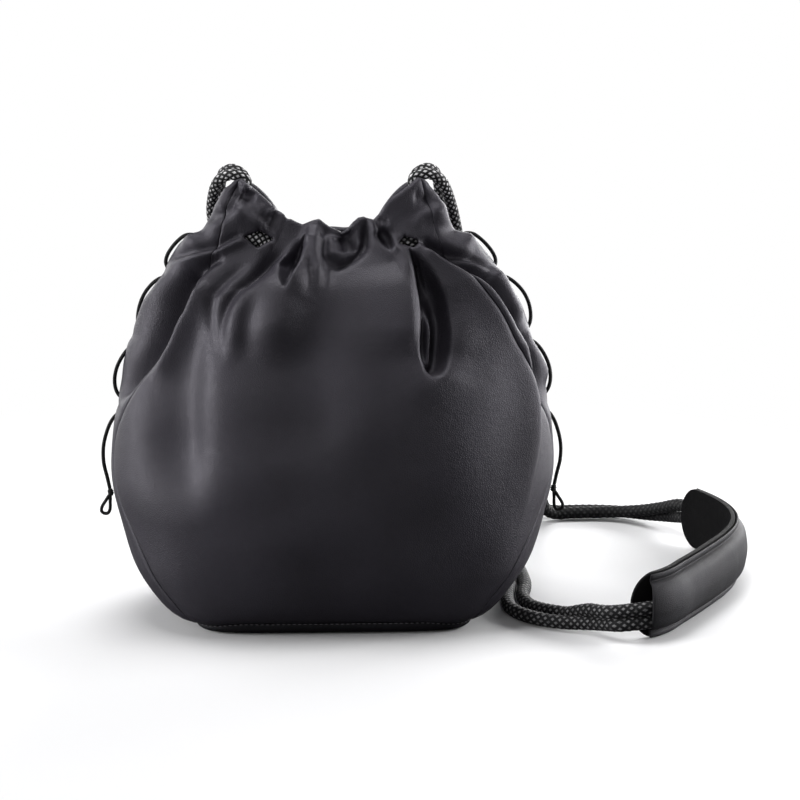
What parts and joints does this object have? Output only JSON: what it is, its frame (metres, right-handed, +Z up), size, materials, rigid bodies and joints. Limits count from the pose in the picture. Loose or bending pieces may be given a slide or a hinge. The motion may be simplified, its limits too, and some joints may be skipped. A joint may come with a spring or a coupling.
{
  "type": "drawstring pouch",
  "caption": "Soft bucket pouch with a gathered mouth, pointed side ears, rope drawcords that make a padded shoulder strap, and laced sides.",
  "frame": {"origin": "middle of the base, on the surface that the pouch stands on", "axes": "+Z up, -Y toward the front, +X toward the side where the strap lies"},
  "size_m": [0.3229, 0.2243, 0.216],
  "materials": {
    "shell": "fine-grained satin synthetic leather, near black",
    "lining": "matt woven lining, black",
    "board": "plain fibre stiffener",
    "rope": "braided black rope with light flecks in a diamond lattice",
    "lace": "thin black waxed lace",
    "pad_inner": "matt black pad lining",
    "pad_cover": "smooth satin charcoal leather with stitched edges"
  },
  "bodies": {
    "pouch": {"front_panel": "shell", "back_panel": "shell", "gusset_left": "shell", "gusset_right": "shell", "base_panel": "shell", "base_board": "board", "lining": "lining", "channel_front": "shell", "channel_back": "shell", "channel_left_front": "shell", "channel_left_back": "shell", "channel_right_front": "shell", "channel_right_back": "shell", "drawcord_front": "rope", "drawcord_back": "rope", "strap_rope_left_front": "rope", "strap_rope_left_back": "rope", "strap_rope_right_front": "rope", "strap_rope_right_back": "rope", "pad_base": "pad_inner", "pad_cover": "pad_cover", "pad_rope_upper": "rope", "pad_rope_lower": "rope", "lace_left": "lace", "lace_right": "lace", "lace_top_knot_left": "lace", "lace_top_knot_right": "lace", "lace_end_knot_left": "lace", "lace_end_knot_right": "lace"},
    "pull_left": {"pull_loop_left": "lace"},
    "pull_right": {"pull_loop_right": "lace"}
  },
  "joints": [
    {"name": "pull_left_swing", "type": "hinge", "parent": "pouch", "child": "pull_left", "pos_m": [-0.1056, 0, 0.0582], "axis": [0, 1, 0], "range_deg": [-10, 60]},
    {"name": "pull_right_swing", "type": "hinge", "parent": "pouch", "child": "pull_right", "pos_m": [0.1068, 0, 0.0582], "axis": [0, -1, 0], "range_deg": [-10, 60]}
  ]
}
